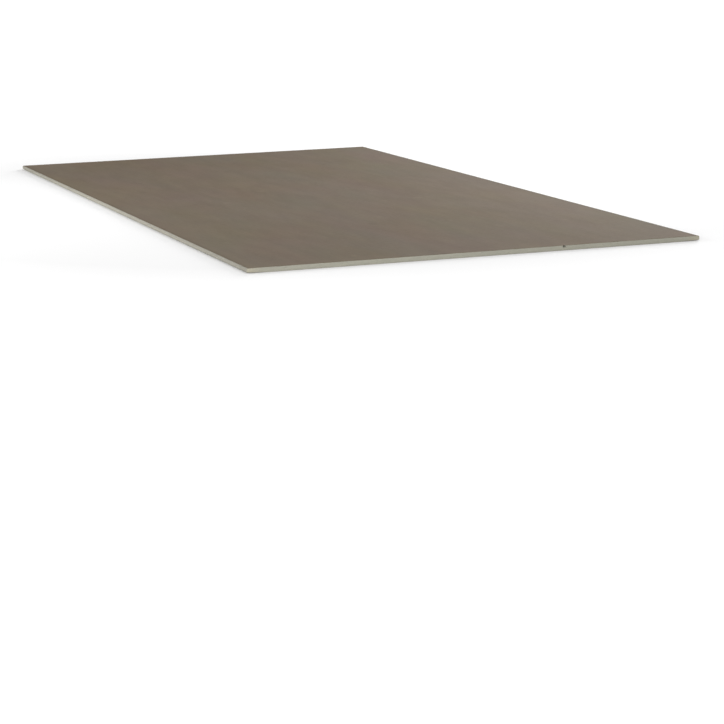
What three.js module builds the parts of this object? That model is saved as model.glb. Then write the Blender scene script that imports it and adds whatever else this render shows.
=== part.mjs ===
// Drywall sheet: a tapered-edge, paper-faced gypsum board, lying face down.
//
// Three pieces, bonded to each other all over:
//   gypsum_core  set plaster, bare at the two cut ends
//   face_paper   one paper under the face, folded up round both long edges and over the margins of the back
//   back_paper   flat paper over the back and the two folds
//
// Frame: +X across the width, +Y along the length, +Z up through the thickness.
// Origin: the middle of the sheet, in the plane of the flat face that it rests on.
// Units: millimetres. Flat surfaces that meet are at eighths of a millimetre, so they meet exactly.

import * as THREE from "three";

const SHEET = { width: 1200, length: 2500, thickness: 12.5 };
const TAPER = { width: 50, depth: 1.875 }; // each long margin of the face slopes back by this much
const FACE_PAPER = { thickness: 0.375, fold: 25 }; // fold: how far each margin reaches over the back
const BACK_PAPER = { thickness: 0.375, inset: 2.5 }; // inset: from each long edge to the paper's cut edge
const ARRIS_RADIUS = 1.5; // where the face paper turns from the face to the edge, and from the edge to the back
const ARC_STEPS = 4; // three.js draws each quarter turn with twice as many segments

const COLOURS = {
  core: { color: 0xa19f92, roughness: 0.95, metalness: 0 },
  facePaper: { color: 0xa09c91, roughness: 0.8, metalness: 0 },
  backPaper: { color: 0x6c5f4f, roughness: 0.9, metalness: 0 },
};

// --- Section of the sheet, seen along its length: x across the width, y up through the thickness ---

const edgeX = SHEET.width / 2;
const foldX = edgeX - FACE_PAPER.fold;
const foldTop = SHEET.thickness - BACK_PAPER.thickness; // the folds and the core's back share this level
const taperX = edgeX - TAPER.width;
const taperSlope = Math.atan2(TAPER.depth, TAPER.width);

// The arcs of both arrises are centred this far in from the edge, so a line at any inset below the
// paper's surface stays parallel to it.
const arrisX = edgeX - ARRIS_RADIUS;
const faceArrisY =
  (ARRIS_RADIUS + (arrisX - taperX) * Math.sin(taperSlope)) / Math.cos(taperSlope);
const backArrisY = foldTop - ARRIS_RADIUS;

/** The right-hand half of the wrapped outline: along the face, up round the edge and over the back. */
function halfWrap(inset) {
  const radius = ARRIS_RADIUS - inset;
  const line = new THREE.Path();
  line.moveTo(0, inset);
  line.lineTo(taperX - inset * Math.tan(taperSlope / 2), inset);
  line.absarc(arrisX, faceArrisY, radius, taperSlope - Math.PI / 2, 0);
  line.absarc(arrisX, backArrisY, radius, 0, Math.PI / 2);
  line.lineTo(foldX, foldTop - inset);
  return line.getPoints(ARC_STEPS).slice(1);
}

/** The wrapped outline from the left fold's end to the right fold's end, inset below the surface. */
function wrap(inset) {
  const right = halfWrap(inset);
  const left = right.map(({ x, y }) => new THREE.Vector2(-x, y)).reverse();
  return [...left, ...right];
}

const paperOutside = wrap(0);
const paperInside = wrap(FACE_PAPER.thickness);

const facePaperSection = [...paperOutside, ...[...paperInside].reverse()];
const coreSection = [
  ...paperInside,
  new THREE.Vector2(foldX, foldTop),
  new THREE.Vector2(-foldX, foldTop),
];
const backPaperX = edgeX - BACK_PAPER.inset;
const backPaperSection = [
  new THREE.Vector2(-backPaperX, foldTop),
  new THREE.Vector2(backPaperX, foldTop),
  new THREE.Vector2(backPaperX, SHEET.thickness),
  new THREE.Vector2(-backPaperX, SHEET.thickness),
];

// --- Pieces: each section run along the whole length ---

// Turns an extrusion so that its depth lies along +Y and its section stands in XZ. Written as whole
// numbers, because a rotation by sines and cosines would round the faces that meet.
const ALONG_LENGTH = new THREE.Matrix4().set(
  1, 0, 0, 0,
  0, 0, -1, SHEET.length / 2,
  0, 1, 0, 0,
  0, 0, 0, 1,
);

function piece(name, section, finish) {
  const geometry = new THREE.ExtrudeGeometry(new THREE.Shape(section), {
    depth: SHEET.length,
    bevelEnabled: false,
  });
  geometry.applyMatrix4(ALONG_LENGTH);
  const mesh = new THREE.Mesh(geometry, new THREE.MeshStandardMaterial(finish));
  mesh.name = name;
  return mesh;
}

const drywallSheet = new THREE.Group();
drywallSheet.add(
  piece("gypsum_core", coreSection, COLOURS.core),
  piece("face_paper", facePaperSection, COLOURS.facePaper),
  piece("back_paper", backPaperSection, COLOURS.backPaper),
);

export default drywallSheet;
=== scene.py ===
"""Drywall sheet: a tapered-edge gypsum board lying face down on a pale floor.

Three finer pieces of the same size and place stand for the CAD solids:
  plaster_core   the foamed plaster, with its sawn ends, its pits and a chipped arris
  face_liner     the face paper, wrapped round both long edges and folded over the back's margins
  back_liner     the back paper, over the back and the two folds
"""

import math
import random
from typing import NamedTuple

import bmesh
import bpy
from mathutils import Matrix, Vector


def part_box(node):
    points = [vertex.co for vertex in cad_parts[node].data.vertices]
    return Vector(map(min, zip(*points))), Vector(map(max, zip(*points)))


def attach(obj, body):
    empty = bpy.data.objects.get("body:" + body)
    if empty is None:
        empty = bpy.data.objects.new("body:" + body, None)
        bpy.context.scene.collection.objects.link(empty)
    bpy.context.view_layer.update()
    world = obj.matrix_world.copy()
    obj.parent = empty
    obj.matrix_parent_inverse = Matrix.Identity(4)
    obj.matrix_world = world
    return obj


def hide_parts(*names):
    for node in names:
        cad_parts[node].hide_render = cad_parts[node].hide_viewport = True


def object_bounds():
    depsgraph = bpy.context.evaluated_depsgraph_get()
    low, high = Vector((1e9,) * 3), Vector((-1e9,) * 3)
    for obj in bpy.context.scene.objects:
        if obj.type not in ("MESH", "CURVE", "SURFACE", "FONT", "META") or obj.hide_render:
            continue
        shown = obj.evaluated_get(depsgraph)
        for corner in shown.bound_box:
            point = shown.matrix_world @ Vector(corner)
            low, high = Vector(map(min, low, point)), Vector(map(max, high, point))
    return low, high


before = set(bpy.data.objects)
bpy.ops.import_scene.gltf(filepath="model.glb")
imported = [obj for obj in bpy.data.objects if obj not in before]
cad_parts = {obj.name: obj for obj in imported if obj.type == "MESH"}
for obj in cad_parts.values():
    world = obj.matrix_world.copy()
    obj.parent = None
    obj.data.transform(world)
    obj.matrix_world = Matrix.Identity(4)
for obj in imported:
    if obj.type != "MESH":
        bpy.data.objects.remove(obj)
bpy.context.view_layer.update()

# --- Sizes of the sheet, in metres ---

MM = 0.001

sheet_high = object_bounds()[1]
core_low, core_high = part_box("gypsum_core")
back_low, back_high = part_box("back_paper")
face_low, face_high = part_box("face_paper")

HALF_WIDTH = sheet_high.x
HALF_LENGTH = sheet_high.y
PAPER = core_low.z - face_low.z  # the thickness of either paper
FOLD_TOP = face_high.z  # the level at which the back paper lies
FOLD_FLOOR = FOLD_TOP - PAPER

TAPER_WIDTH = 50 * MM
TAPER_DEPTH = 1.875 * MM
FOLD_REACH = 25 * MM  # how far the face paper is folded over each margin of the back
ARRIS_RADIUS = 1.5 * MM  # of the paper's outside, where it turns from a face to the edge

TAPER_X = HALF_WIDTH - TAPER_WIDTH
TAPER_SLOPE = math.atan2(TAPER_DEPTH, TAPER_WIDTH)
FOLD_X = HALF_WIDTH - FOLD_REACH
ARRIS_X = HALF_WIDTH - ARRIS_RADIUS
FACE_ARRIS_Z = (ARRIS_RADIUS + (ARRIS_X - TAPER_X) * math.sin(TAPER_SLOPE)) / math.cos(TAPER_SLOPE)
BACK_ARRIS_Z = FOLD_TOP - ARRIS_RADIUS

NEAR = 1e-6  # two places closer than this are the same
SMOOTH_ANGLE = math.radians(40)


# --- Modelling helpers ---

class Wander(NamedTuple):
    """How an edge or a surface strays from its true place."""
    wave: float  # the length of its waves
    reach: float  # from the lowest of them to the highest


def deselect():
    bpy.ops.object.select_all(action="DESELECT")


def activate(piece):
    deselect()
    bpy.context.view_layer.objects.active = piece
    piece.select_set(True)


def start(primitive, name, scale, place=(0, 0, 0), turn=(0, 0, 0), **settings):
    """Adds a primitive at its size and place, and opens it in edit mode with its own frame at the origin."""
    deselect()
    primitive(location=place, rotation=turn, **settings)
    piece = bpy.context.active_object
    piece.name = piece.data.name = name
    piece.scale = scale
    bpy.ops.object.transform_apply(location=True, rotation=True, scale=True)
    bpy.ops.object.mode_set(mode="EDIT")
    return piece


def reopen(piece):
    """Opens a piece in edit mode again, selected all over."""
    activate(piece)
    bpy.ops.object.mode_set(mode="EDIT")
    bpy.ops.mesh.select_all(action="SELECT")


def stop():
    bpy.ops.object.mode_set(mode="OBJECT")


def pick(kind, test):
    """In edit mode, selects the vertices, edges or faces that pass the test, and nothing else."""
    bpy.ops.mesh.select_mode(type=kind)
    bpy.ops.mesh.select_all(action="DESELECT")
    mesh = bpy.context.edit_object.data
    edited = bmesh.from_edit_mesh(mesh)
    for part in {"VERT": edited.verts, "EDGE": edited.edges, "FACE": edited.faces}[kind]:
        part.select_set(test(part))
    bmesh.update_edit_mesh(mesh)


def pick_border(x):
    """In edit mode, selects the edges that run along the sheet at x."""
    pick("EDGE", lambda edge: all(abs(vertex.co.x - x) < NEAR for vertex in edge.verts))


def cut(place, normal, clear=False):
    """In edit mode, cuts the whole mesh by a plane, and clears what is on the normal's side if asked."""
    bpy.ops.mesh.select_all(action="SELECT")
    bpy.ops.mesh.bisect(plane_co=place, plane_no=normal, clear_outer=clear, threshold=NEAR)


def weigh(piece, name, weight):
    """Gives the piece a vertex group that holds weight(place) at each vertex, and returns its name."""
    group = piece.vertex_groups.new(name=name)
    for vertex in piece.data.vertices:
        group.add([vertex.index], weight(vertex.co), "REPLACE")
    return name


def at_end(place):
    """1 on a cut end of the sheet, 0 away from it."""
    return 1.0 if abs(place.y) > HALF_LENGTH - NEAR else 0.0


def finish_with(piece, kind, **settings):
    """Adds a modifier and applies it."""
    activate(piece)
    modifier = piece.modifiers.new(kind.title(), kind)
    for setting, value in settings.items():
        setattr(modifier, setting, value)
    bpy.ops.object.modifier_apply(modifier=modifier.name)


def roughen(piece, name, wander, direction, group, level=0.5):
    """Moves the group's vertices to and fro by a soft noise. At level 1 they only move back."""
    texture = bpy.data.textures.new(name, "CLOUDS")
    texture.noise_scale = wander.wave
    finish_with(piece, "DISPLACE", texture=texture, texture_coords="LOCAL", direction=direction,
                strength=wander.reach, mid_level=level, vertex_group=group)


def smooth(piece):
    """Shades the piece smooth, but for its arrises."""
    activate(piece)
    bpy.ops.object.shade_smooth_by_angle(angle=SMOOTH_ANGLE)


# --- Face liner: one paper, turned up round the long edges and in over the back ---

FACE_COLUMNS = 44
LENGTH_ROWS = 200
TAPER_STEPS = 4
ARRIS_STEPS = 8
EDGE_STEPS = 3
FOLD_STEPS = 4
FACE_CUT = Wander(wave=14 * MM, reach=0.7 * MM)
BELT_WANDER = Wander(wave=160 * MM, reach=0.7 * MM)


def run_paper(steps, run, rise):
    """Extrudes the selected border of the paper by run across and rise up, in equal steps."""
    for _ in range(steps):
        bpy.ops.mesh.extrude_edges_move(TRANSFORM_OT_translate={"value": (run / steps, 0, rise / steps)})


def turn_paper(side, angle, centre_z):
    """Turns the selected border of the paper round the arris, towards the back."""
    bpy.ops.mesh.spin(steps=ARRIS_STEPS, angle=angle, center=(side * ARRIS_X, 0, centre_z),
                      axis=(0, side, 0))


def belt_weight(place):
    """0 on the flat of the face, rising to 1 at the long edge."""
    return max(0.0, (abs(place.x) - TAPER_X) / TAPER_WIDTH) ** 2


def make_face_liner():
    liner = start(bpy.ops.mesh.primitive_grid_add, "face_liner", (2 * TAPER_X, 2 * HALF_LENGTH, 1),
                  size=1, x_subdivisions=FACE_COLUMNS, y_subdivisions=LENGTH_ROWS)
    taper_run = ARRIS_X + ARRIS_RADIUS * math.sin(TAPER_SLOPE) - TAPER_X
    for side in (-1, 1):
        pick_border(side * TAPER_X)
        run_paper(TAPER_STEPS, side * taper_run, taper_run * math.tan(TAPER_SLOPE))
        turn_paper(side, math.pi / 2 - TAPER_SLOPE, FACE_ARRIS_Z)
        run_paper(EDGE_STEPS, 0, BACK_ARRIS_Z - FACE_ARRIS_Z)
        turn_paper(side, math.pi / 2, BACK_ARRIS_Z)
        run_paper(FOLD_STEPS, side * (FOLD_X - ARRIS_X), 0)
    bpy.ops.mesh.select_all(action="SELECT")
    bpy.ops.mesh.flip_normals()
    stop()
    finish_with(liner, "SOLIDIFY", thickness=PAPER, offset=-1, use_even_offset=True)

    # The paper was cut with the sheet, so its ends wander a little and stand proud of the plaster.
    ends = weigh(liner, "ends", at_end)
    roughen(liner, "face_cut", FACE_CUT, "Y", ends)
    # The long edges were folded on the belt, and aren't dead straight.
    edges = weigh(liner, "edges", belt_weight)
    roughen(liner, "belt_wander", BELT_WANDER, "X", edges)
    smooth(liner)
    return liner


# --- Back liner: a flat paper over the back and the two folds ---

BACK_COLUMNS = 300
BACK_ROWS = 100
BORDER = 1.2 * MM  # a last narrow column, where the paper's edge is skived thin
SKIVED = 0.16 * MM  # what is left of the paper's thickness there
BACK_CUT = Wander(wave=12 * MM, reach=0.8 * MM)
SKIVE_WANDER = Wander(wave=60 * MM, reach=2.2 * MM)
COCKLE = Wander(wave=110 * MM, reach=0.22 * MM)
COCKLE_LEVEL = 0.6  # a little over half, so that the cockled paper lies lower more often than higher


def make_back_liner():
    half_width = (back_high.x - back_low.x) / 2
    border_x = half_width - BORDER
    liner = start(bpy.ops.mesh.primitive_grid_add, "back_liner", (2 * border_x, 2 * HALF_LENGTH, 1),
                  place=(0, 0, back_high.z), size=1, x_subdivisions=BACK_COLUMNS, y_subdivisions=BACK_ROWS)
    for side in (-1, 1):
        pick_border(side * border_x)
        run_paper(1, side * BORDER, SKIVED - PAPER)
    stop()
    finish_with(liner, "SOLIDIFY", thickness=PAPER, offset=-1, use_even_offset=False)

    ends = weigh(liner, "ends", at_end)
    roughen(liner, "back_cut", BACK_CUT, "Y", ends)
    edges = weigh(liner, "edges", lambda place: 1.0 if abs(place.x) > border_x - NEAR else 0.0)
    roughen(liner, "skive_wander", SKIVE_WANDER, "X", edges)
    # The paper shrank a little unevenly as the board dried, and the back is faintly cockled.
    top = weigh(liner, "top", lambda place: 1.0 if place.z > FOLD_TOP + PAPER / 2 else 0.0)
    roughen(liner, "cockle", COCKLE, "Z", top, level=COCKLE_LEVEL)
    smooth(liner)
    return liner


# --- Plaster core: the section stands up as a fine grid, and is run along the sheet ---

CORE_COLUMNS = 1200
CORE_ROWS = 12
ARRIS_CUTS = 4
CORE_RUN = (2 * MM, 10 * MM)  # the first steps from an end; the middle is one long step
SAWN = Wander(wave=5 * MM, reach=0.5 * MM)
PITS = 45  # burst bubbles in each sawn end
PIT_SEEDS = {-1: 1, 1: 2}  # of the near end and of the far one
PIT_RADIUS = (0.9 * MM, 2.4 * MM)
PIT_MARGIN = 3 * MM  # from a pit's middle to the nearest paper
PIT_DEPTH = 1.6 * MM  # of the widest pit


def round_arris(side, centre_z, rise):
    """Cuts a corner of the section round, inside the paper's turn. rise is 1 at the back, -1 at the face."""
    radius = ARRIS_RADIUS - PAPER
    for step in range(ARRIS_CUTS):
        angle = (step + 0.5) / ARRIS_CUTS * math.pi / 2
        outward = (side * math.cos(angle), 0, rise * math.sin(angle))
        touch = (side * (ARRIS_X + radius * math.cos(angle)), 0, centre_z + rise * radius * math.sin(angle))
        cut(touch, outward, clear=True)


def in_fold(face):
    """Whether a face of the section lies where the face paper is folded over the margin."""
    middle = face.calc_center_median()
    return middle.z > FOLD_FLOOR and abs(middle.x) > FOLD_X


def trim_section():
    """Trims a plain upright grid to the section that the two papers enclose."""
    cut((0, 0, FOLD_FLOOR), (0, 0, 1))
    taper_x = TAPER_X - PAPER * math.tan(TAPER_SLOPE / 2)
    for side in (-1, 1):
        cut((side * FOLD_X, 0, 0), (1, 0, 0))
        slope = (side * math.sin(TAPER_SLOPE), 0, -math.cos(TAPER_SLOPE))
        cut((side * taper_x, 0, core_low.z), slope, clear=True)
        round_arris(side, FACE_ARRIS_Z, -1)
        round_arris(side, BACK_ARRIS_Z, 1)
    pick("FACE", in_fold)
    bpy.ops.mesh.delete(type="FACE")


def run_section():
    """Runs the section along the sheet, from the near end to the far one."""
    bpy.ops.mesh.select_all(action="SELECT")
    middle = 2 * (HALF_LENGTH - sum(CORE_RUN))
    for step in (*CORE_RUN, middle, *reversed(CORE_RUN)):
        bpy.ops.mesh.extrude_region_move(TRANSFORM_OT_translate={"value": (0, step, 0)})
    bpy.ops.mesh.select_all(action="SELECT")
    bpy.ops.mesh.normals_make_consistent(inside=False)


def scatter_pits(seed):
    """The places and radii of the pits in one end, as a list of x, z and radius."""
    draw = random.Random(seed)
    return [(draw.uniform(-TAPER_X, TAPER_X), draw.uniform(PIT_MARGIN, FOLD_TOP - PIT_MARGIN),
             draw.uniform(*PIT_RADIUS)) for _ in range(PITS)]


def pit_weights():
    """A weight that is deepest in the middle of each pit, and 0 away from them."""
    pits = {end: scatter_pits(seed) for end, seed in PIT_SEEDS.items()}

    def weight(place):
        if not at_end(place):
            return 0.0
        bowls = ((radius, math.hypot(place.x - x, place.z - z) / radius)
                 for x, z, radius in pits[math.copysign(1, place.y)])
        return max((radius * (1 - off ** 2) / PIT_RADIUS[1] for radius, off in bowls if off < 1), default=0.0)

    return weight


def make_plaster_core():
    height = core_high.z - core_low.z
    core = start(bpy.ops.mesh.primitive_grid_add, "plaster_core",
                 (core_high.x - core_low.x, height, 1), turn=(math.pi / 2, 0, 0),
                 place=(0, -HALF_LENGTH, core_low.z + height / 2),
                 size=1, x_subdivisions=CORE_COLUMNS, y_subdivisions=CORE_ROWS)
    trim_section()
    run_section()
    stop()

    # The saw leaves the plaster a little behind the papers, crumbles it and opens its larger bubbles.
    ends = weigh(core, "ends", at_end)
    pits = weigh(core, "pits", pit_weights())
    roughen(core, "sawn", SAWN, "NORMAL", ends, level=1.0)
    finish_with(core, "DISPLACE", direction="NORMAL", strength=-PIT_DEPTH, mid_level=0.0, vertex_group=pits)
    smooth(core)
    return core


# --- The chip in the near end ---

CHIP_X = 225.6 * MM
CHIP_LEVEL = 9.5 * MM  # how high its middle lies
CHIP_REACH = (4.3 * MM, 14 * MM, 2.8 * MM)  # from its middle, along x, y and z
NICK_REACH = (3.4 * MM, 2.2 * MM, 1.6 * MM)  # the back paper is torn less far in than the plaster is broken
CHIP_GRAIN = 1.8 * MM
CHIP_ROUGHNESS = 0.45  # how uneven the broken surface is, as a share of the chip's smallest reach
CHIP_FINENESS = 5  # each step of this splits the broken surface's faces in four


def bite(piece, reach, level):
    """Takes a rough lump of that reach out of the near end, at CHIP_X and with its middle at that level."""
    tool = start(bpy.ops.mesh.primitive_ico_sphere_add, "chip_tool", reach,
                 place=(CHIP_X, -HALF_LENGTH, level), radius=1, subdivisions=CHIP_FINENESS)
    stop()
    everywhere = weigh(tool, "everywhere", lambda place: 1.0)
    broken = Wander(wave=CHIP_GRAIN, reach=CHIP_ROUGHNESS * min(reach))
    roughen(tool, "broken", broken, "NORMAL", everywhere)
    finish_with(piece, "BOOLEAN", object=tool, operation="DIFFERENCE", solver="EXACT")
    bpy.data.objects.remove(tool)
    # The cut leaves slivers where it passes close to a vertex.
    reopen(piece)
    bpy.ops.mesh.dissolve_degenerate(threshold=NEAR)
    stop()


# --- Material helpers ---

SOFT = (0.3, 0.7)  # a soft noise hardly ever goes outside these two
RELIEF_STRENGTH = 0.5

# Sockets that share their name with another go by their numbers.
SHARE, FIRST_COLOUR, SECOND_COLOUR, MIXED_COLOUR = 0, 6, 7, 2  # on a Mix node that mixes colours
VECTOR, FROM_LOW, FROM_HIGH, TO_LOW, TO_HIGH = 6, 7, 8, 9, 10  # on a Map Range node that maps vectors


class Noise(NamedTuple):
    """A soft noise. Each seed gives another one."""
    sizes: tuple  # of its bumps in mm, along x, y and z
    detail: float  # how ragged they are
    seed: float = 0.0


class Mark(NamedTuple):
    """Something that lightens or darkens a surface in places, by a soft noise of these sizes and detail."""
    sizes: tuple
    detail: float
    span: tuple  # the two levels of the noise between which the mark comes in or fades
    change: tuple  # what it adds to the brightness at each of the two


def linear(code):
    """An sRGB hex colour as linear red, green, blue and alpha, by the curve that defines sRGB."""
    parts = [int(code[place:place + 2], 16) / 255 for place in (1, 3, 5)]
    return [part / 12.92 if part <= 0.04045 else ((part + 0.055) / 1.055) ** 2.4 for part in parts] + [1]


def node(tree, kind, inputs=None, **settings):
    """Adds a node. inputs gives a socket's value, or the output that feeds it, by its name or number."""
    made = tree.nodes.new(kind)
    for setting, value in settings.items():
        setattr(made, setting, value)
    for socket, value in (inputs or {}).items():
        if isinstance(value, bpy.types.NodeSocket):
            tree.links.new(value, made.inputs[socket])
        else:
            made.inputs[socket].default_value = value
    return made


def start_material(name, specular):
    """A new material, its node tree, its shader and the place on the piece, in metres."""
    material = bpy.data.materials.new(name)
    material.use_nodes = True
    tree = material.node_tree
    shader = tree.nodes["Principled BSDF"]
    shader.inputs["Specular IOR Level"].default_value = specular
    place = node(tree, "ShaderNodeTexCoord").outputs["Object"]
    return material, tree, shader, place


def draw_noise(tree, place, noise):
    """Draws a soft noise at its own scale. Its node gives a level and a colour."""
    scale = [1 / (size * MM) for size in noise.sizes]
    drawn = node(tree, "ShaderNodeMapping", {"Vector": place, "Scale": scale})
    return node(tree, "ShaderNodeTexNoise", {"Vector": drawn.outputs[0], "W": noise.seed, "Scale": 1.0,
                                             "Detail": noise.detail}, noise_dimensions="4D")


def shade(tree, level, measure, span, change):
    """Adds to a brightness: the first change where the measure starts its span, the second at its end."""
    step = node(tree, "ShaderNodeMapRange", {"Value": measure, "From Min": span[0], "From Max": span[1],
                                             "To Min": change[0], "To Max": change[1]})
    return node(tree, "ShaderNodeMath", {0: level, 1: step.outputs[0]}, operation="ADD").outputs[0]


def draw_marks(tree, place, marks, seed=0.0, level=1.0):
    """The level of brightness, with the marks on it."""
    for mark in marks:
        drawn = draw_noise(tree, place, Noise(mark.sizes, mark.detail, seed))
        level = shade(tree, level, drawn.outputs["Fac"], mark.span, mark.change)
    return level


def inset(tree, place, axis, edge):
    """How far a place is in from the sheet's edge: along X from the long edges, along Y from the cut ends."""
    axes = node(tree, "ShaderNodeSeparateXYZ", {"Vector": place})
    off = node(tree, "ShaderNodeMath", {0: axes.outputs[axis]}, operation="ABSOLUTE")
    return node(tree, "ShaderNodeMath", {0: edge, 1: off.outputs[0]}, operation="SUBTRACT").outputs[0]


def finish_material(tree, shader, colour, level, relief, depth, roughness):
    """Gives the shader a colour at a brightness, and raises its surface by a relief of some depth.

    roughness is that of the lowest and of the highest places of the relief.
    """
    shown = node(tree, "ShaderNodeVectorMath", {0: colour, "Scale": level}, operation="SCALE")
    tree.links.new(shown.outputs[0], shader.inputs["Base Color"])
    raised = node(tree, "ShaderNodeBump", {"Height": relief, "Distance": depth, "Strength": RELIEF_STRENGTH})
    tree.links.new(raised.outputs[0], shader.inputs["Normal"])
    rough = node(tree, "ShaderNodeMapRange", {"Value": relief, "From Min": SOFT[0], "From Max": SOFT[1],
                                              "To Min": roughness[0], "To Max": roughness[1]})
    tree.links.new(rough.outputs[0], shader.inputs["Roughness"])


# --- Recycled back liner ---

PINKER_STOCK = "#6d5d4e"
GREENER_STOCK = "#6a604f"
BLUE_DRIFT = (0.91, 1.07)  # the least and the most that the blue is multiplied by
STOCK_PATCHES = Noise(sizes=(160, 440, 160), detail=4, seed=7.3)
FLOC_SIZES = (12, 12, 12)
FLOCS = Noise(FLOC_SIZES, detail=4)
FLOC_HEIGHT = 0.25 * MM
BACK_SPECULAR = 0.2
BACK_ROUGHNESS = (0.93, 0.87)  # between the flocs, and on them, where the drying rolls pressed the paper
BACK_MARKS = (
    # Damp and handling leave clouds a hand or two wide.
    Mark(sizes=(160, 520, 160), detail=3, span=SOFT, change=(-0.025, 0.025)),
    # The plies dry in blotches, longer along the sheet.
    Mark(sizes=(40, 140, 40), detail=2, span=SOFT, change=(-0.048, 0.048)),
    # The pulp settles in flocs, and the paper machine draws it out in streaks.
    Mark(sizes=FLOC_SIZES, detail=3, span=SOFT, change=(-0.025, 0.025)),
    Mark(sizes=(6, 300, 6), detail=2, span=SOFT, change=(-0.02, 0.02)),
    # A few places, a fingertip wide, are scuffed pale or soiled.
    Mark(sizes=(40, 70, 40), detail=1, span=(0.7, 0.78), change=(0.0, 0.08)),
    Mark(sizes=(44, 60, 44), detail=1, span=(0.22, 0.3), change=(-0.08, 0.0)),
    # Dark and pale fibres of other papers, really 1 mm long, are drawn coarser, as that would not show.
    Mark(sizes=(3, 3, 3), detail=1, span=(0.24, 0.3), change=(-0.2, 0.0)),
    Mark(sizes=(3.4, 3.4, 3.4), detail=1, span=(0.7, 0.76), change=(0.0, 0.18)),
)
PALE_MARGIN = (60 * MM, 280 * MM)  # how far in from the long edges the paleness starts to fade, and is gone
PALENESS = (0.03, -0.015)
SOILED_MARGIN = (4 * MM, 14 * MM)  # the same for the dirt that hands leave there
SOILING = (-0.12, 0.0)
DUSTY_MARGIN = (25 * MM, 90 * MM)  # and for the saw's dust, in from the cut ends
DUSTING = (0.05, 0.0)


def recycled_back_liner():
    """Grey-brown liner of recycled board: dull, softly clouded, with faint streaks and stray fibres."""
    material, tree, shader, place = start_material("recycled_back_liner", BACK_SPECULAR)
    level = draw_marks(tree, place, BACK_MARKS)
    in_from_side = inset(tree, place, "X", HALF_WIDTH)
    level = shade(tree, level, in_from_side, PALE_MARGIN, PALENESS)
    level = shade(tree, level, in_from_side, SOILED_MARGIN, SOILING)
    level = shade(tree, level, inset(tree, place, "Y", HALF_LENGTH), DUSTY_MARGIN, DUSTING)

    # The stock is patchy: pinker here and greener there, and its blue drifts apart from that.
    patches = draw_noise(tree, place, STOCK_PATCHES)
    share = node(tree, "ShaderNodeMapRange", {"Value": patches.outputs["Fac"],
                                              "From Min": SOFT[0], "From Max": SOFT[1]})
    stock = node(tree, "ShaderNodeMix", {SHARE: share.outputs[0], FIRST_COLOUR: linear(PINKER_STOCK),
                                         SECOND_COLOUR: linear(GREENER_STOCK)}, data_type="RGBA")
    drift = node(tree, "ShaderNodeMapRange", {VECTOR: patches.outputs["Color"],
                                              FROM_LOW: [SOFT[0]] * 3, FROM_HIGH: [SOFT[1]] * 3,
                                              TO_LOW: (1, 1, BLUE_DRIFT[0]), TO_HIGH: (1, 1, BLUE_DRIFT[1])},
                 data_type="FLOAT_VECTOR")
    colour = node(tree, "ShaderNodeVectorMath", {0: stock.outputs[MIXED_COLOUR], 1: drift.outputs["Vector"]},
                  operation="MULTIPLY")
    flocs = draw_noise(tree, place, FLOCS).outputs["Fac"]
    finish_material(tree, shader, colour.outputs[0], level, flocs, FLOC_HEIGHT, BACK_ROUGHNESS)
    return material


# --- Ivory face liner ---

WARM_IVORY = "#a39e92"
COOL_IVORY = "#9d9b8f"
IVORY_PATCHES = Noise(sizes=(60, 60, 60), detail=2)
IVORY_GRAIN = Noise(sizes=(4, 4, 4), detail=2)
GRAIN_HEIGHT = 0.1 * MM
FACE_SPECULAR = 0.3
FACE_ROUGHNESS = (0.85, 0.75)  # this paper is pressed smoother than the back's
WORN_MARGIN = (8 * MM, 20 * MM)  # how far in from the long edges the wear starts to fade, and is gone
END_SHADE_MARGIN = (0, 450 * MM)  # the same for the painted shade in from the cut ends, which stands in for light falling off towards them
PAINTED_END_SHADE = (-0.1, 0.0)
FACE_SEED = 1.7
FACE_MARKS = (
    # Clouds, flocs and streaks, as in the back liner but in cleaner pulp.
    Mark(sizes=(90, 400, 90), detail=2, span=SOFT, change=(-0.05, 0.05)),
    Mark(sizes=(12, 12, 12), detail=3, span=SOFT, change=(-0.03, 0.03)),
    Mark(sizes=(3, 140, 3), detail=2, span=SOFT, change=(-0.04, 0.04)),
)
ARRIS_MARKS = (
    # Strips a finger long are rubbed whiter, and others are soiled.
    Mark(sizes=(4, 30, 4), detail=1, span=(0.56, 0.68), change=(0.0, 0.14)),
    Mark(sizes=(5, 34, 5), detail=1, span=(0.3, 0.4), change=(-0.12, 0.0)),
)


def ivory_face_liner():
    """Smooth pale liner: the cleanest paper on the sheet, streaked along it and scuffed where it turns."""
    material, tree, shader, place = start_material("ivory_face_liner", FACE_SPECULAR)
    level = draw_marks(tree, place, FACE_MARKS, FACE_SEED)
    wear = draw_marks(tree, place, ARRIS_MARKS, FACE_SEED, level=0.0)
    worn = node(tree, "ShaderNodeMapRange", {"Value": inset(tree, place, "X", HALF_WIDTH),
                                             "From Min": WORN_MARGIN[1], "From Max": WORN_MARGIN[0]})
    level = node(tree, "ShaderNodeMath", {0: wear, 1: worn.outputs[0], 2: level},
                 operation="MULTIPLY_ADD").outputs[0]
    # Painted shade: the paper darkens towards both cut ends, standing in for light that falls off along the
    # sheet.
    level = shade(tree, level, inset(tree, place, "Y", HALF_LENGTH), END_SHADE_MARGIN, PAINTED_END_SHADE)
    patches = draw_noise(tree, place, IVORY_PATCHES)
    colour = node(tree, "ShaderNodeMix", {SHARE: patches.outputs["Fac"], FIRST_COLOUR: linear(WARM_IVORY),
                                          SECOND_COLOUR: linear(COOL_IVORY)}, data_type="RGBA")
    grain = draw_noise(tree, place, IVORY_GRAIN).outputs["Fac"]
    finish_material(tree, shader, colour.outputs[MIXED_COLOUR], level, grain, GRAIN_HEIGHT, FACE_ROUGHNESS)
    return material


# --- Foamed plaster ---

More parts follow.
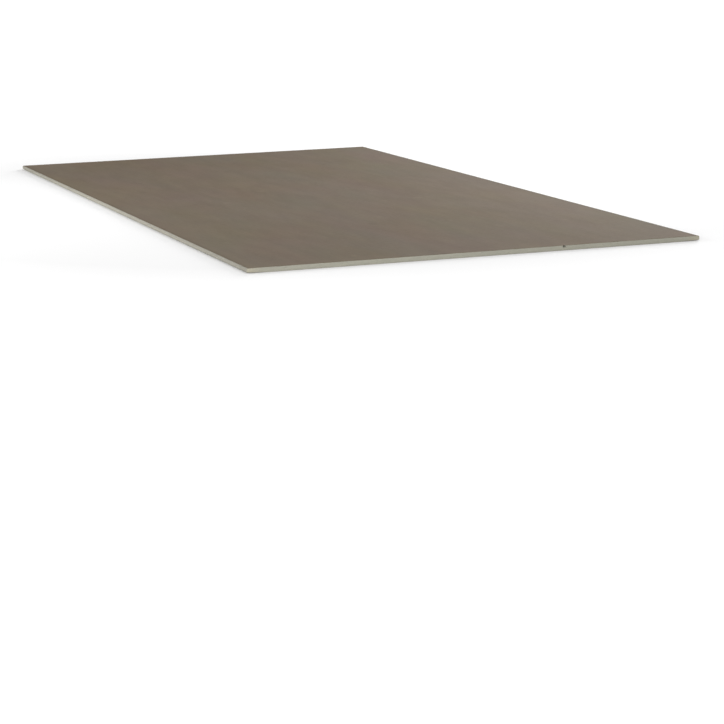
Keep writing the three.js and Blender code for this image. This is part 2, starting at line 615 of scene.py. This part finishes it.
LIGHT_FOAM = "#a19f92"
DENSE_PLASTER = "#aba695"
DENSE_MARGIN = (12 * MM, 40 * MM)  # how far in from the long edges the foam starts to lighten, and is light
BUBBLE_SPACING = 3 * MM  # really under 1 mm, and drawn coarser, as that would not show
BUBBLE_RIM = (0.1, 0.3)  # the shares of that spacing over which a bubble's shade fades, out from its middle
BUBBLE_SHADE = (-0.15, 0.0)
BUBBLE_DEPTH = 0.35 * MM
PLASTER_SPECULAR = 0.3
PLASTER_ROUGHNESS = (1.0, 0.9)  # in the bubbles, and on the sawn skin between them
PLASTER_MARKS = (
    # The slurry was laid in soft layers, and set unevenly.
    Mark(sizes=(60, 60, 8), detail=2, span=SOFT, change=(-0.03, 0.03)),
    Mark(sizes=(8, 8, 4), detail=3, span=SOFT, change=(-0.04, 0.04)),
    # The saw leaves pale crumbs.
    Mark(sizes=(5, 5, 3), detail=1, span=(0.66, 0.74), change=(0.0, 0.08)),
)


def foamed_plaster():
    """Set gypsum plaster full of fine bubbles: chalky and matt, denser and creamier along the long edges."""
    material, tree, shader, place = start_material("foamed_plaster", PLASTER_SPECULAR)
    level = draw_marks(tree, place, PLASTER_MARKS)
    bubbles = node(tree, "ShaderNodeTexVoronoi", {"Vector": place, "Scale": 1 / BUBBLE_SPACING})
    from_bubble = bubbles.outputs["Distance"]
    level = shade(tree, level, from_bubble, BUBBLE_RIM, BUBBLE_SHADE)
    dense = node(tree, "ShaderNodeMapRange", {"Value": inset(tree, place, "X", HALF_WIDTH),
                                              "From Min": DENSE_MARGIN[1], "From Max": DENSE_MARGIN[0]})
    colour = node(tree, "ShaderNodeMix", {SHARE: dense.outputs[0], FIRST_COLOUR: linear(LIGHT_FOAM),
                                          SECOND_COLOUR: linear(DENSE_PLASTER)}, data_type="RGBA")
    finish_material(tree, shader, colour.outputs[MIXED_COLOUR], level, from_bubble, BUBBLE_DEPTH,
                    PLASTER_ROUGHNESS)
    return material


# --- Floor and sky ---

FLOOR_SIZE = 60  # in metres, so that its far edge is lost in the sky's white
FLOOR_DROP = 0.1 * MM  # so that the floor and the face aren't in one plane
FLOOR_WHITE = "#f9f9f9"
FLOOR_SPECULAR = 0.1
FLOOR_ROUGHNESS = 0.9
FLOOR_SPAN = (1.3, 3.8)  # from the middle of the sheet: where the lamps' light starts to fade, and is gone
FLOOR_LIFT = (0.03, 0.85)  # the white that the camera is shown on top of the floor's own at each of the two
WHITE = (1, 1, 1, 1)
SKY_LIGHT = 0.4
SKY_SEEN = 1.0


def pale_floor():
    """Matt white floor. The camera sees it a little lighter than it is, and more so where the lamps end."""
    material, tree, shader, place = start_material("pale_floor", FLOOR_SPECULAR)
    shader.inputs["Roughness"].default_value = FLOOR_ROUGHNESS
    shader.inputs["Base Color"].default_value = linear(FLOOR_WHITE)
    shader.inputs["Emission Color"].default_value = WHITE
    reach = node(tree, "ShaderNodeVectorMath", {0: place}, operation="LENGTH")
    lift = node(tree, "ShaderNodeMapRange", {"Value": reach.outputs["Value"],
                                             "From Min": FLOOR_SPAN[0], "From Max": FLOOR_SPAN[1],
                                             "To Min": FLOOR_LIFT[0], "To Max": FLOOR_LIFT[1]})
    seen = node(tree, "ShaderNodeLightPath").outputs["Is Camera Ray"]
    shown = node(tree, "ShaderNodeMath", {0: seen, 1: lift.outputs[0]}, operation="MULTIPLY")
    tree.links.new(shown.outputs[0], shader.inputs["Emission Strength"])
    return material


def make_floor():
    floor = start(bpy.ops.mesh.primitive_plane_add, "floor", (FLOOR_SIZE, FLOOR_SIZE, 1),
                  place=(0, 0, -FLOOR_DROP), size=1)
    stop()
    floor.data.materials.append(pale_floor())


def make_sky():
    """A plain white sky, which lights the sheet less than the camera sees of it."""
    sky = bpy.data.worlds.new("studio")
    bpy.context.scene.world = sky
    sky.use_nodes = True
    tree = sky.node_tree
    seen = node(tree, "ShaderNodeLightPath").outputs["Is Camera Ray"]
    strength = node(tree, "ShaderNodeMapRange", {"Value": seen, "To Min": SKY_LIGHT, "To Max": SKY_SEEN})
    background = tree.nodes["Background"]
    background.inputs["Color"].default_value = WHITE
    tree.links.new(strength.outputs[0], background.inputs["Strength"])


# --- Lamps and camera ---

class Lamp(NamedTuple):
    """A round softbox that faces the middle of the sheet."""
    place: tuple
    diameter: float
    watts: float


LAMPS = {
    "left_softbox": Lamp(place=(-2.7, 0.55, 1.0), diameter=1.2, watts=38),
    "front_softbox": Lamp(place=(-1.46, -4.01, 1.06), diameter=1.8, watts=62),
    "top_softbox": Lamp(place=(0.9, -0.4, 2.0), diameter=1.2, watts=13.4),
    "back_softbox": Lamp(place=(3.4, 3.0, 1.2), diameter=1.8, watts=164),
}

# The camera's angles are in degrees, and at azimuth 0 it looks along +Y.
AZIMUTH = -19.665
ELEVATION = 10.879
ROLL = -1.122
CAMERA_PLACE = (-2.2936, -6.7892, 0.8929)
FRAME_PIXELS = 724
FOCAL_PIXELS = 2464.8  # the focal length, as a number of the frame's pixels


def make_lamp(name, lamp):
    light = bpy.data.lights.new(name, "AREA")
    light.shape = "DISK"
    light.size = lamp.diameter
    light.energy = lamp.watts
    shown = bpy.data.objects.new(name, light)
    bpy.context.scene.collection.objects.link(shown)
    shown.location = lamp.place
    shown.rotation_euler = Vector(lamp.place).to_track_quat("Z", "Y").to_euler()


def make_camera():
    camera = bpy.data.cameras.new("camera")
    camera.lens = camera.sensor_width * FOCAL_PIXELS / FRAME_PIXELS
    camera.clip_end = 2 * FLOOR_SIZE
    shown = bpy.data.objects.new("camera", camera)
    bpy.context.scene.collection.objects.link(shown)
    turn = (Matrix.Rotation(math.radians(AZIMUTH), 3, "Z")
            @ Matrix.Rotation(math.radians(90 - ELEVATION), 3, "X")
            @ Matrix.Rotation(math.radians(ROLL), 3, "Z"))
    shown.location = CAMERA_PLACE
    shown.rotation_euler = turn.to_euler()
    bpy.context.scene.camera = shown


# --- Putting it together ---

core = make_plaster_core()
face = make_face_liner()
back = make_back_liner()
bite(core, CHIP_REACH, CHIP_LEVEL)
bite(back, NICK_REACH, FOLD_TOP)

for piece, cad_node, material in (
    (core, "gypsum_core", foamed_plaster()),
    (face, "face_paper", ivory_face_liner()),
    (back, "back_paper", recycled_back_liner()),
):
    piece.data.materials.clear()
    piece.data.materials.append(material)
    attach(piece, "root")
    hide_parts(cad_node)

make_floor()
make_sky()
for name, lamp in LAMPS.items():
    make_lamp(name, lamp)
make_camera()
bpy.context.scene.view_settings.view_transform = "Standard"
